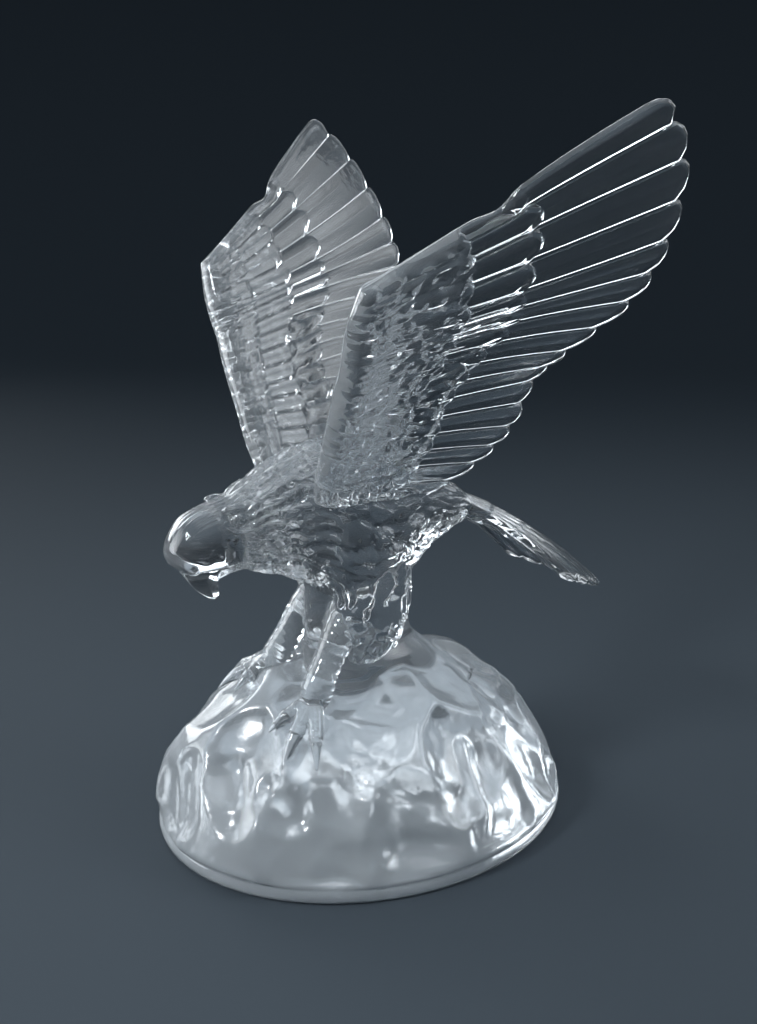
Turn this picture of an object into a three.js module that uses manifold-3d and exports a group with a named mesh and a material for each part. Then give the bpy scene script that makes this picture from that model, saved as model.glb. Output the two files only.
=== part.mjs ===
// A pressed-glass eagle landing on a rock, wings raised, all one solid piece of glass.
// Millimetres, +Z up. The eagle faces -Y and its left wing is on the +X side.
// The origin is on the flat underside, in the eagle's median plane.
import * as THREE from 'three';
import { mergeVertices } from 'three/addons/utils/BufferGeometryUtils.js';
import Module from 'manifold-3d';

const wasm = await Module();
wasm.setup();

// Rock: an oval mound with a low upright rim, flat below.
const ROCK_LENGTH = 138;
const ROCK_WIDTH = 119;
const ROCK_HEIGHT = 55;
const ROCK_RIM = 5;
const ROCK_SHIFT = { x: -3, y: -3 };
const ROCK_DENTS = 40;
const DENT_DEPTH = 2.6;
const DENT_RADIUS = 14;
const DENT_RISE = 0.9;

// Eagle: its height is from the perch, sunk into the top of the rock, up to the wing tips.
const PERCH = ROCK_HEIGHT - 7;
const EAGLE_HEIGHT = 173;
const DRAWN_HEIGHT = 173;
const k = EAGLE_HEIGHT / DRAWN_HEIGHT;

// Wing feathers.
const FEATHERS = 16;
const LOBE = 2.2;
const VANE_STEP = 0.45;
const COVERT_STEP = 0.75;
const EDGE_ROUND = 2.2;

// Tail feathers.
const TAIL_FEATHERS = 10;
const TAIL_LENGTH = 69;
const TAIL_FAN = 14;

const clamp = (v, low, high) => Math.min(Math.max(v, low), high);
const mix = (a, b, t) => a + (b - a) * t;
const smooth = (a, b, v) => {
  const t = clamp((v - a) / (b - a), 0, 1);
  return t * t * (3 - 2 * t);
};

// A smooth curve through a list of equally spaced points (each an array of numbers), at t from 0 to 1.
function through(points, t) {
  const last = points.length - 1;
  const at = clamp(t, 0, 1) * last;
  const i = Math.min(Math.floor(at), last - 1);
  const f = at - i;
  const [a, b, c, d] = [-1, 0, 1, 2].map((n) => points[clamp(i + n, 0, last)]);
  return b.map((v, n) => 0.5 * (2 * v + (c[n] - a[n]) * f
    + (2 * a[n] - 5 * v + 4 * c[n] - d[n]) * f * f
    + (3 * v - a[n] - 3 * c[n] + d[n]) * f * f * f));
}

// The figure's own drawing, placed on the perch.
const figure = (x, y, z) => new THREE.Vector3(x * k, y * k, PERCH + (z - PERCH_DRAWN) * k);
const PERCH_DRAWN = 48;

// A closed surface over rings of points, all of one length, with a fan over each end.
function skin(rings) {
  const n = rings[0].length;
  const points = rings.flat();
  const faces = [];
  for (let i = 0; i < rings.length - 1; i++)
    for (let j = 0; j < n; j++) {
      const [a, b] = [i * n + j, i * n + (j + 1) % n];
      faces.push(a, b, b + n, a, b + n, a + n);
    }
  for (const [ring, start, turned] of [[rings[0], 0, true], [rings.at(-1), (rings.length - 1) * n, false]]) {
    const middle = points.length;
    points.push(ring.reduce((sum, p) => sum.add(p), new THREE.Vector3()).divideScalar(n));
    for (let j = 0; j < n; j++) {
      const [a, b] = [start + j, start + (j + 1) % n];
      faces.push(middle, ...(turned ? [b, a] : [a, b]));
    }
  }
  return solid(points, faces);
}

// A manifold solid from points and faces, turned the right way out.
function solid(points, faces) {
  const geometry = new THREE.BufferGeometry().setFromPoints(points).setIndex(faces);
  const merged = mergeVertices(geometry, 1e-3);
  const triVerts = [];
  for (let i = 0; i < merged.index.count; i += 3) {
    const [a, b, c] = [0, 1, 2].map((n) => merged.index.getX(i + n));
    if (a !== b && b !== c && c !== a) triVerts.push(a, b, c);
  }
  const made = (turn) => new wasm.Manifold(new wasm.Mesh({
    numProp: 3,
    vertProperties: new Float32Array(merged.attributes.position.array),
    triVerts: new Uint32Array(turn ? [...triVerts].reverse() : triVerts),
  }));
  const first = made(false);
  return first.volume() > 0 ? first : made(true);
}

// Rock

const ROCK_SHOULDER = 3.5;
const SHOULDER_ANGLE = THREE.MathUtils.degToRad(-115);

// The mound's height over its rim, by distance from its middle as a share of the oval. A shoulder swells it
// at its front right.
function rockProfile(share, angle) {
  const towards = Math.pow(Math.max(Math.cos(angle - SHOULDER_ANGLE), 0), 2);
  const swell = ROCK_SHOULDER * towards * smooth(0.5, 0.9, share);
  return ROCK_RIM + (ROCK_HEIGHT - ROCK_RIM + swell) * Math.pow(Math.max(1 - Math.pow(share, 2.4), 0), 0.8 - 0.2 * towards);
}

function rockPoint(share, angle) {
  return new THREE.Vector3(
    ROCK_SHIFT.x + ROCK_WIDTH / 2 * share * Math.cos(angle),
    ROCK_SHIFT.y + ROCK_LENGTH / 2 * share * Math.sin(angle),
    rockProfile(share, angle));
}

// Middles of the knapped hollows, spread over the mound in a spiral.
const GOLDEN = Math.PI * (3 - Math.sqrt(5));
const TALL = 0.7;
const dents = Array.from({ length: ROCK_DENTS }, (_, n) => {
  const share = Math.sqrt((n + 0.5) / ROCK_DENTS) * 1.02 + 0.03 * Math.sin(5.1 * n);
  const p = rockPoint(Math.min(share, 0.995), n * GOLDEN + 0.25 * Math.sin(3.3 * n));
  return p.setZ(p.z * TALL);
});

// How far the rock's surface is sunk at a point.
function dentAt(p) {
  const q = p.clone().setZ(p.z * TALL);
  const near = Math.min(...dents.map((d) => d.distanceTo(q)));
  const depth = DENT_DEPTH * (1 - Math.pow(Math.min(near / DENT_RADIUS, 1), 2)) - DENT_RISE;
  return depth * smooth(ROCK_RIM, ROCK_RIM * 2.6, p.z);
}

const rockTop = (x, y) => {
  const [u, v] = [(x - ROCK_SHIFT.x) / (ROCK_WIDTH / 2), (y - ROCK_SHIFT.y) / (ROCK_LENGTH / 2)];
  return rockProfile(Math.min(Math.hypot(u, v), 1), Math.atan2(v, u));
};

function rock() {
  const around = 48;
  const shares = [1, 1, 0.995, 0.975, 0.93, 0.86, 0.78, 0.68, 0.57, 0.46, 0.34, 0.2, 0.07];
  const middle = new THREE.Vector3(ROCK_SHIFT.x, ROCK_SHIFT.y, 0);
  const rings = shares.map((share, i) => Array.from({ length: around }, (_, j) => {
    const p = rockPoint(share, (j + 0.5 * (i % 2)) / around * Math.PI * 2);
    if (i === 0) return p.setZ(0);
    const out = p.clone().sub(middle).normalize();
    return p.addScaledVector(out, -dentAt(p));
  }));
  return skin(rings);
}

// Trunk: stations from the rump to the face, each an upright oval set by its top and its bottom in the
// median plane, (y, z) and (y, z), and by its half width.
const TRUNK = [
  [35, 100.5, 34, 95.5, 4],
  [30, 104, 29, 92.5, 9],
  [18, 111.5, 16, 86.5, 13.5],
  [6, 118, 4, 79, 17.5],
  [-8, 122.5, -8, 72, 19.5],
  [-20, 124.5, -18, 76, 19.5],
  [-30, 121.5, -26, 83.5, 17],
  [-40, 117, -35, 87.5, 13.5],
  [-50, 112.5, -45, 90.3, 11],
  [-58, 110.5, -51, 89.8, 10.3],
  [-64, 107.8, -56, 88.8, 10],
  [-68, 103, -59.5, 89.5, 8.8],
  [-69.6, 98.5, -62.5, 91.5, 6.6],
  [-69, 95.5, -65, 92.8, 3.5],
];
const BEAK = [
  [-68.6, 98.5, -55, 92, 6],
  [-68.2, 94.5, -54.6, 89.6, 5.2],
  [-65.6, 90, -54.4, 87.2, 4.1],
  [-62, 86.4, -54.7, 85.2, 2.9],
  [-58.8, 83.7, -55.2, 83.3, 1.7],
  [-56.6, 82.4, -55.8, 82.3, 0.5],
];

function ovals(stations, steps, around, square = 2) {
  return skin(Array.from({ length: steps + 1 }, (_, i) => {
    const [topY, topZ, lowY, lowZ, half] = through(stations, i / steps);
    return Array.from({ length: around }, (_, j) => {
      const angle = j / around * Math.PI * 2;
      const [c, s] = [Math.cos(angle), Math.sin(angle)];
      const across = half * Math.sign(c) * Math.pow(Math.abs(c), 2 / square);
      const share = 0.5 + 0.5 * Math.sign(s) * Math.pow(Math.abs(s), 2 / square);
      return figure(across, mix(lowY, topY, share), mix(lowZ, topZ, share));
    });
  }));
}

// A round or oval limb along stations (x, y, z, radius across, radius fore and aft), lying in level sections
// or, with a single radius, square to its own line.
function limb(stations, steps, around, side = 1) {
  const level = stations[0].length === 5;
  return skin(Array.from({ length: steps + 1 }, (_, i) => {
    const [x, y, z, across, along = across] = through(stations, i / steps);
    const ahead = through(stations, Math.min(i / steps + 0.01, 1));
    const behind = through(stations, Math.max(i / steps - 0.01, 0));
    const line = new THREE.Vector3(...[0, 1, 2].map((n) => ahead[n] - behind[n])).normalize();
    const u = level ? new THREE.Vector3(1, 0, 0) : new THREE.Vector3(1, 0, 0).projectOnPlane(line).normalize();
    const v = level ? new THREE.Vector3(0, 1, 0) : line.clone().cross(u);
    return Array.from({ length: around }, (_, j) => {
      const angle = j / around * Math.PI * 2;
      const p = new THREE.Vector3(x, y, z).addScaledVector(u, across * Math.cos(angle)).addScaledVector(v, along * Math.sin(angle));
      return figure(p.x * side, p.y, p.z);
    });
  }));
}

const THIGH = [
  [9, -7, 92, 8, 16],
  [11.5, -7.5, 80, 9.5, 15],
  [12.6, -7.5, 70, 9, 12.5],
  [13, -9, 62, 7, 8.5],
  [13.2, -11.5, 57.5, 2.5, 3.2],
];
// The column of glass behind and between the legs, which carries the eagle on its rock.
const COLUMN = [
  [0, -8, 90, 12, 16],
  [0, -8, 76, 12, 15.5],
  [0, -9, 66, 12, 17.5],
  [0, -6.5, 57, 14, 21.5],
  [0, 1, 44, 24, 33],
];
const SHANK = [
  [9, -14, 78, 6],
  [10.5, -21, 69, 5.4],
  [12, -26.5, 61.5, 4.6],
  [13.5, -30.5, 55, 5],
];

const TOES = [
  { turn: -30, length: 15 },
  { turn: 0, length: 18 },
  { turn: 32, length: 15 },
  { turn: 165, length: 9 },
];
const FOOT = { x: 13.5, y: -30.5 };
const TOE_RADIUS = 3;

// One toe, which follows the rock and ends in a hooked talon.
function toe({ turn, length }, side) {
  const angle = THREE.MathUtils.degToRad(turn);
  const stations = Array.from({ length: 6 }, (_, i) => {
    const out = length * i / 5;
    const [x, y] = [FOOT.x + out * Math.sin(angle), FOOT.y - out * Math.cos(angle)];
    const lift = TOE_RADIUS * mix(0.9, 0.1, i / 5);
    const radius = TOE_RADIUS * (i < 4 ? 1 - 0.07 * i : 0.62 - 0.4 * (i - 4));
    return [x, y, rockTop(x * side, y) - DENT_DEPTH * 0.5 + lift, radius];
  });
  return limb(stations, 6, 6, side);
}

function feet(side) {
  return [limb(SHANK, 4, 8, side), ...TOES.map((t) => toe(t, side))];
}

// Wing: three guide lines, each from the leading edge at the tip to the root, in side view (y, z).
// A feather starts on ROOTS, passes MIDS and ends near TIPS.
const ROOTS = [[-34, 175], [-35, 168], [-35, 161], [-34, 153], [-34, 145], [-33.5, 137], [-33, 129], [-32.5, 121], [-31, 112.5]];
const MIDS = [[-5, 195.5], [2, 187], [5, 171.5], [4, 163], [-1, 152], [-4, 141.5], [-3.5, 131], [-6, 120.5], [-10, 111]];
const TIPS = [[25.5, 219.5], [38, 205.5], [45, 185.5], [44, 169], [32, 155], [25.5, 146], [26, 131], [20, 119], [8, 109.5]];

// How far out from the median plane the wing's middle surface stands, which is more with height and to the rear.
const WING_ROOT_OUT = 19.3;
const WING_ROOT_HEIGHT = 115;
const WING_SLOPE = 0.644;
const WING_CUP = 0.00079;
const WING_SWEEP = 0.0029;

function wingOut(y, z) {
  const up = z - WING_ROOT_HEIGHT;
  return WING_ROOT_OUT + WING_SLOPE * up - WING_CUP * up * up + WING_SWEEP * y * up;
}

// Where a feather's line is in side view, at share r of its length.
function wingPlan(s, r) {
  const [root, mid, tip] = [ROOTS, MIDS, TIPS].map((guide) => through(guide, s));
  return root.map((v, n) => v * (1 - r) * (1 - 2 * r) + mid[n] * 4 * r * (1 - r) + tip[n] * r * (2 * r - 1));
}

// The rounded end of a feather: 0 at the notches beside it, 1 at its tip, which lies towards its leading edge.
const lobe = (f) => Math.pow(Math.max(1 - Math.pow(2 * Math.pow(f, 0.65) - 1, 2), 0), 0.6);
const vane = (f) => (f < 0.12 ? mix(-1, 1, f / 0.12) : mix(1, -1, Math.pow((f - 0.12) / 0.88, 1.4)));

const GREATER = 0.56;
const MEDIAN = 0.36;

// Half the wing's thickness, before its feathers and edges.
function wingHalf(s, r) {
  const arm = mix(2.6, 4.2, smooth(0, 0.3, s));
  const vanes = mix(1.2, 1.5, s);
  return mix(arm, vanes, smooth(0, 0.9, Math.pow(r, 0.6)));
}

function wing(side) {
  const columns = [0, 0.2, 0.66];
  const across = Array.from({ length: FEATHERS * columns.length }, (_, i) =>
    Math.floor(i / columns.length) + columns[i % columns.length]).concat([FEATHERS - 0.001]);
  const rows = [0, 0.03, 0.15, MEDIAN - 0.02, MEDIAN + 0.01, GREATER - 0.02, GREATER + 0.01, 0.78, 0.94, 1];
  const rings = across.map((at) => {
    const s = at / FEATHERS;
    const f = at - Math.floor(at);
    const reach = (r) => {
      const [y0, z0] = wingPlan(s, 0.9);
      const [y1, z1] = wingPlan(s, 1);
      const share = LOBE / Math.max(Math.hypot(y1 - y0, z1 - z0) * 10, 1);
      return r * (1 + share * lobe(f) * smooth(0.6, 1, r)) + 0.03 * lobe(f) * smooth(0.2, GREATER, r) * smooth(0.75, GREATER, r);
    };
    const face = (turn) => rows.map((row) => {
      const r = reach(row);
      const [y, z] = wingPlan(s, r);
      const [yEdge, zEdge] = wingPlan(0, r);
      const [yRoot, zRoot] = wingPlan(0.999, r);
      const [y0, z0] = wingPlan(s, 0);
      const [y1, z1] = wingPlan(s, reach(1));
      const toEdge = (a, b) => Math.hypot(y - a, z - b);
      const round = (gap, radius) => Math.sqrt(1 - Math.pow(1 - clamp(gap / radius, 0.03, 1), 2));
      const edge = Math.min(round(toEdge(yEdge, zEdge), EDGE_ROUND), round(toEdge(y0, z0), EDGE_ROUND * 1.9),
        round(toEdge(y1, z1), EDGE_ROUND * 0.8), round(toEdge(yRoot, zRoot), EDGE_ROUND));
      const coverts = COVERT_STEP * ((row < GREATER ? 1 : 0) + (row < MEDIAN ? 1 : 0)) * 0.5;
      const half = (wingHalf(s, row) + coverts + VANE_STEP * vane(f) * smooth(0.05, 0.2, row)) * edge;
      const slopeY = (wingOut(y + 0.5, z) - wingOut(y - 0.5, z));
      const slopeZ = (wingOut(y, z + 0.5) - wingOut(y, z - 0.5));
      const normal = new THREE.Vector3(1, -slopeY, -slopeZ).normalize();
      const p = new THREE.Vector3(wingOut(y, z), y, z).addScaledVector(normal, turn * half);
      return figure(p.x * side, p.y, p.z);
    });
    return [...face(1), ...face(-1).reverse()];
  });
  return skinStrip(rings, rows.length);
}

// As skin(), for flat rings: each end is closed by a strip between the two faces.
function skinStrip(rings, rows) {
  const n = rings[0].length;
  const points = rings.flat();
  const faces = [];
  for (let i = 0; i < rings.length - 1; i++)
    for (let j = 0; j < n; j++) {
      const [a, b] = [i * n + j, i * n + (j + 1) % n];
      faces.push(a, b, b + n, a, b + n, a + n);
    }
  for (const [start, turned] of [[0, true], [(rings.length - 1) * n, false]])
    for (let j = 0; j < rows - 1; j++) {
      const quad = [start + j, start + j + 1, start + n - 2 - j, start + n - 1 - j];
      if (turned) quad.reverse();
      faces.push(quad[0], quad[1], quad[2], quad[0], quad[2], quad[3]);
    }
  return solid(points, faces);
}

// Tail: an arched wedge of feathers, the middle ones longest.
const TAIL_ROOT = { y: 26, z: 101.7, half: 7 };
const TAIL_SLOPE = 0.36;
const TAIL_DROOP = 0.0042;
const TAIL_ARCH = 0.038;
const TAIL_HALF = 1.7;

function tail() {
  const columns = [0, 0.2, 0.66];
  const across = Array.from({ length: TAIL_FEATHERS * columns.length }, (_, i) =>
    Math.floor(i / columns.length) + columns[i % columns.length]).concat([TAIL_FEATHERS]);
  const rows = [0, 0.2, 0.45, 0.7, 0.92, 1];
  const rings = across.map((at) => {
    const s = 2 * at / TAIL_FEATHERS - 1;
    const f = at < TAIL_FEATHERS / 2 ? at - Math.floor(at) : Math.ceil(at) - at;
    const full = TAIL_LENGTH * (1 - 0.42 * Math.pow(Math.abs(s), 1.5)) + 1.6 * (lobe(1 - f) - 0.5);
    const turn = THREE.MathUtils.degToRad(TAIL_FAN * s);
    const face = (up) => rows.map((row) => {
      const x = TAIL_ROOT.half * s + Math.sin(turn) * full * row;
      const y = TAIL_ROOT.y + Math.cos(turn) * full * row;
      const run = y - TAIL_ROOT.y;
      const z = TAIL_ROOT.z - TAIL_SLOPE * run - TAIL_DROOP * run * run - TAIL_ARCH * x * x;
      const side = Math.sqrt(1 - Math.pow(Math.abs(s), 6) * 0.96);
      const end = Math.sqrt(1 - Math.pow(1 - clamp((1 - row) * full / 1.8, 0.04, 1), 2));
      const half = (TAIL_HALF * mix(1.25, 0.85, row) + 0.35 * vane(f)) * Math.min(side, end);
      return figure(x + up * half * 2 * TAIL_ARCH * x * 0.7, y + up * half * 0.45, z + up * half * 0.85);
    });
    return [...face(1), ...face(-1).reverse()];
  });
  return skinStrip(rings, rows.length);
}

function ball(x, y, z, radius, stretch = [1, 1, 1]) {
  const sphere = new THREE.SphereGeometry(radius * k, 8, 6);
  sphere.deleteAttribute('normal');
  sphere.deleteAttribute('uv');
  sphere.scale(...stretch);
  const at = figure(x, y, z);
  sphere.translate(at.x, at.y, at.z);
  const merged = mergeVertices(sphere, 1e-4);
  const points = Array.from({ length: merged.attributes.position.count }, (_, i) =>
    new THREE.Vector3().fromBufferAttribute(merged.attributes.position, i));
  return solid(points, [...merged.index.array]);
}

const EYE = { x: 8.6, y: -63, z: 101 };

function sides(side) {
  return [
    wing(side),
    limb(THIGH, 6, 12, side),
    ...feet(side),
    ball(EYE.x * side, EYE.y, EYE.z, 1.9),
    ball((EYE.x - 1.8) * side, EYE.y - 0.4, EYE.z + 2.2, 3.2, [0.8, 1.2, 0.45]),
  ];
}

const pieces = [rock(), ovals(TRUNK, 20, 18, 2.2), ovals(BEAK, 7, 8), limb(COLUMN, 5, 16), tail(), ...sides(1), ...sides(-1)];
// Joined into one piece of glass, with any small void that is left between two pieces filled.
const whole = pieces.reduce((sum, piece) => sum.add(piece)).decompose()
  .filter((shell) => shell.volume() > 0)
  .reduce((sum, shell) => sum.add(shell));

const mesh = whole.getMesh();
const geometry = new THREE.BufferGeometry()
  .setAttribute('position', new THREE.BufferAttribute(new Float32Array(mesh.vertProperties), 3))
  .setIndex(new THREE.BufferAttribute(new Uint32Array(mesh.triVerts), 1));
geometry.computeVertexNormals();

const glass = new THREE.MeshStandardMaterial({
  color: 0xe9eef2, roughness: 0.06, metalness: 0, transparent: true, opacity: 0.35,
});
const eagle = new THREE.Mesh(geometry, glass);
eagle.name = 'glass_eagle';

const part = new THREE.Group();
part.add(eagle);

export default part;
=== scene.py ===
# The looks of a pressed-glass eagle on its rock: one piece of clear glass, with its feathers, scales and
# knapped rock as mesh, on a plain floor under soft studio light.
import math

import bmesh
import bpy
import numpy as np
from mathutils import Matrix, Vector
from mathutils.kdtree import KDTree

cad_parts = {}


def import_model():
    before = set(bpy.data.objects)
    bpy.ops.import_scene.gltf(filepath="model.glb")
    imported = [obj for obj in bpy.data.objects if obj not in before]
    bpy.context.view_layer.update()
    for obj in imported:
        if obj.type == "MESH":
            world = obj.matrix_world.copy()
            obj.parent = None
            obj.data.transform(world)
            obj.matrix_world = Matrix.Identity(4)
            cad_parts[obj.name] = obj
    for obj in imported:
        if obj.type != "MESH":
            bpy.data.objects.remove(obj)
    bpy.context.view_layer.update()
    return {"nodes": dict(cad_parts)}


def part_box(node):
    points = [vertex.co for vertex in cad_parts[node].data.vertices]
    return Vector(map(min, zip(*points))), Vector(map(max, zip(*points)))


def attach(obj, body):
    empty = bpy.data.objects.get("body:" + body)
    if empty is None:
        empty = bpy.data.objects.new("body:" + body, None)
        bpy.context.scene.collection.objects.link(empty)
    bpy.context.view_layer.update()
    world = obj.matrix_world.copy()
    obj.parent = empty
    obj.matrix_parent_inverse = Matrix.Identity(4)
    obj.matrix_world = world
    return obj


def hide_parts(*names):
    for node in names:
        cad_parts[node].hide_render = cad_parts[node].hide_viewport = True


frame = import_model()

NODE = "glass_eagle"
MM = 0.001

cad_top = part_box(NODE)[1][2] / MM

# Rock, in millimetres. Its oval is read from the vertices of the solid's flat underside.
UNDERSIDE_BELOW = 0.2
solid = frame["nodes"][NODE].data
underside = np.array([v.co for v in solid.vertices if v.co.z < UNDERSIDE_BELOW * MM]) / MM
ROCK_SHIFT = (underside.max(0) + underside.min(0))[:2] / 2
ROCK_HALF = (underside.max(0) - underside.min(0))[:2] / 2
ROCK_HEIGHT = 55
ROCK_RIM = 5
ROCK_SHOULDER = 3.5
SHOULDER_ANGLE = math.radians(-115)

# Eagle: drawn for one height over its perch, and set to the solid's.
FEET_BELOW_TOP = 7
PERCH = ROCK_HEIGHT - FEET_BELOW_TOP
PERCH_DRAWN = 48
DRAWN_TOP = 220.2
FIGURE_SCALE = (cad_top - PERCH) / (DRAWN_TOP - PERCH_DRAWN)

FEATHERS = 16
TAIL_FEATHERS = 10

# How finely each part is drawn: rings along it, points round it
FINENESS = {
    "rock": (56, 236),
    "trunk": (116, 144),
    "beak": (34, 44),
    "jaw": (14, 24),
    "column": (34, 72),
    "thigh": (56, 68),
    "shank": (44, 26),
    "toe": (34, 16),
    "ball": (16, 24),
}


def smooth(low, high, v):
    """0 up to low, 1 from high on, and an easy rise between."""
    t = np.clip((v - low) / (high - low), 0, 1)
    return t * t * (3 - 2 * t)


def mix(a, b, t):
    return a + (b - a) * t


def through(points, t):
    """A smooth curve through equally spaced points, at t from 0 to 1."""
    points = np.asarray(points, float)
    last = len(points) - 1
    at = np.clip(np.asarray(t, float), 0, 1) * last
    i = np.minimum(np.floor(at).astype(int), last - 1)
    f = (at - i)[..., None]
    a, b, c, d = (points[np.clip(i + n, 0, last)] for n in (-1, 0, 1, 2))
    return 0.5 * (
        2 * b + (c - a) * f + (2 * a - 5 * b + 4 * c - d) * f**2 + (3 * b - a - 3 * c + d) * f**3
    )


def figure(points):
    """The eagle's drawing, set on its perch."""
    points = np.array(points, float)
    points[..., :2] *= FIGURE_SCALE
    points[..., 2] = PERCH + (points[..., 2] - PERCH_DRAWN) * FIGURE_SCALE
    return points


def chance(*numbers):
    """A steady mixed-up number from 0 to 1 for each set of whole numbers."""
    total = sum(n * m for n, m in zip(numbers, (12.9898, 78.233, 37.719)))
    return np.mod(np.sin(total) * 43758.5453, 1)


# Small feathers: how much their tips narrow and their sides fall, the soft edge, and the line of the shaft.
LAPPET_TAPER = 0.5
LAPPET_DOME = 0.5
LAPPET_EDGE = 0.07
LAPPET_SHAFT = 0.1
SHAFT_WIDTH = 0.16


def ridge(v, at, width):
    return np.exp(-(((v - at) / width) ** 2))


def lappets(u, v, reach=1.5, uneven=0.25, ramp=0.6, flat=1):
    """Height, 0 to 1, of overlapping rounded feathers, in rows along v with their tips towards +v.

    Reach is a feather's length in rows, uneven how much lengths vary, ramp how much a feather rises to its
    tip, and flat how level it is across.
    """
    best = np.zeros(np.broadcast(u, v).shape)
    for back in (0, 1):
        row = np.floor(v) - back
        across = u + 0.5 * np.mod(row, 2)
        across = across + 0.2 * np.sin(1.7 * row + 2.3 * v)
        across = across + 0.25 * np.sin(2.1 * row + 1.1 * u)
        cell = np.floor(across)
        out = 2 * (across - cell) - 1
        far = (v - row) / reach
        end = 1 - LAPPET_TAPER * out**2 - uneven * chance(row, cell)
        rise = 1 - ramp * (1 - far / end)
        section = 1 - LAPPET_DOME * out ** (2 * flat) - LAPPET_SHAFT * ridge(out, 0, SHAFT_WIDTH)
        best = np.maximum(best, rise * section * smooth(0, LAPPET_EDGE, end - far))
    return best


def normals(grid):
    """Unit normals of closed rings of points, from each point's neighbours both ways."""
    along = np.gradient(grid, axis=0)
    across = (np.roll(grid, -1, 1) - np.roll(grid, 1, 1)) / 2
    n = np.cross(across, along)
    return n / np.maximum(np.linalg.norm(n, axis=-1, keepdims=True), 1e-9)


def outward(grid, n):
    """The normals, turned to point away from each ring's middle."""
    middle = grid.mean(1, keepdims=True)
    return n if ((grid - middle) * n).sum() > 0 else -n


GLASS_IOR = 1.5
PATCHES_PER_METRE = 45
RIPPLES_PER_METRE = 260
RIPPLE_DEPTH = 0.5 * MM
ROUGHNESS_RANGE = (0.6, 1.5)


def glass_material(name, colour, clear, roughness, waviness):
    """Glass with patches of uneven polish and the faint waves of a pressed surface."""
    material = bpy.data.materials.new(name)
    material.use_nodes = True
    nodes, links = material.node_tree.nodes, material.node_tree.links
    shader = nodes["Principled BSDF"]
    shader.inputs["Base Color"].default_value = (*colour, 1)
    shader.inputs["Transmission Weight"].default_value = clear
    shader.inputs["IOR"].default_value = GLASS_IOR
    shader.inputs["Metallic"].default_value = 0.0
    place = nodes.new("ShaderNodeNewGeometry")
    patches = nodes.new("ShaderNodeTexNoise")
    patches.inputs["Scale"].default_value = PATCHES_PER_METRE
    links.new(place.outputs["Position"], patches.inputs["Vector"])
    spread = nodes.new("ShaderNodeMapRange")
    spread.inputs["To Min"].default_value = roughness * ROUGHNESS_RANGE[0]
    spread.inputs["To Max"].default_value = roughness * ROUGHNESS_RANGE[1]
    links.new(patches.outputs["Fac"], spread.inputs["Value"])
    links.new(spread.outputs["Result"], shader.inputs["Roughness"])
    waves = nodes.new("ShaderNodeTexNoise")
    waves.inputs["Scale"].default_value = RIPPLES_PER_METRE
    waves.inputs["Detail"].default_value = 2
    links.new(place.outputs["Position"], waves.inputs["Vector"])
    ripple = nodes.new("ShaderNodeBump")
    ripple.inputs["Strength"].default_value = waviness
    ripple.inputs["Distance"].default_value = RIPPLE_DEPTH
    links.new(waves.outputs["Fac"], ripple.inputs["Height"])
    links.new(ripple.outputs["Normal"], shader.inputs["Normal"])
    return material


# Finishes: name, colour, clearness, roughness, strength of the waves
POLISHED, SATIN, FEATHERED = 0, 1, 2
FINISHES = [
    glass_material("polished_glass", (0.93, 0.96, 0.98), 0.95, 0.012, 0.1),
    glass_material("satin_glass", (0.87, 0.91, 0.94), 0.78, 0.13, 0.25),
    glass_material("feathered_glass", (0.93, 0.96, 0.98), 0.87, 0.015, 0.15),
]


def closed(name, rings, strip=False, finish=POLISHED):
    """A closed mesh over rings of points.

    Each end is a fan or, on flat rings, a strip between its two faces.
    """
    rings = np.asarray(rings, float)
    count, around = rings.shape[:2]
    i, j = np.meshgrid(np.arange(count - 1), np.arange(around), indexing="ij")
    a, b = i * around + j, i * around + (j + 1) % around
    faces = np.stack([a, b, b + around, a + around], -1).reshape(-1, 4).tolist()
    points = rings.reshape(-1, 3)
    for start, turned in ((0, True), ((count - 1) * around, False)):
        if strip:
            for n in range(around // 2 - 1):
                quad = [start + n, start + n + 1, start + around - 2 - n, start + around - 1 - n]
                faces.append(quad[::-1] if turned else quad)
        else:
            hub = len(points)
            points = np.vstack([points, points[start : start + around].mean(0)])
            for n in range(around):
                tri = [hub, start + n, start + (n + 1) % around]
                faces.append([tri[0], tri[2], tri[1]] if turned else tri)
    if volume(points, faces) < 0:
        faces = [face[::-1] for face in faces]
    mesh = bpy.data.meshes.new(name)
    mesh.from_pydata((points * MM).tolist(), [], faces)
    for material in FINISHES:
        mesh.materials.append(material)
    kinds = np.broadcast_to(finish, (count - 1, around)).ravel().tolist()
    kinds += [kinds[-1]] * (len(faces) - len(kinds))
    mesh.polygons.foreach_set("material_index", kinds)
    piece = bpy.data.objects.new(name, mesh)
    bpy.context.scene.collection.objects.link(piece)
    return piece


def volume(points, faces):
    """Six times the volume inside the faces, below zero if they point in."""
    total = 0
    for size in (3, 4):
        some = np.array([face for face in faces if len(face) == size], int).reshape(-1, size)
        for n in range(1, size - 1):
            p, q, r = points[some[:, 0]], points[some[:, n]], points[some[:, n + 1]]
            total += (p * np.cross(q, r)).sum()
    return total


# Rock

MOUND_ROUND = 2.4
MOUND_FALL = 0.8
SHOULDER_FALL = 0.2


def rock_profile(share, angle):
    """The mound's height at a share of its half width, fuller towards its shoulder."""
    towards = np.maximum(np.cos(angle - SHOULDER_ANGLE), 0) ** 2
    swell = ROCK_SHOULDER * towards * smooth(0.5, 0.9, share)
    fall = np.maximum(1 - share**MOUND_ROUND, 0) ** (MOUND_FALL - SHOULDER_FALL * towards)
    return ROCK_RIM + (ROCK_HEIGHT - ROCK_RIM + swell) * fall


def rock_point(share, angle):
    """A point of the plain mound, at a share of its half width."""
    share, angle = np.broadcast_arrays(share, angle)
    return np.stack(
        [
            ROCK_SHIFT[0] + ROCK_HALF[0] * share * np.cos(angle),
            ROCK_SHIFT[1] + ROCK_HALF[1] * share * np.sin(angle),
            rock_profile(share, angle),
        ],
        -1,
    )


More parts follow.
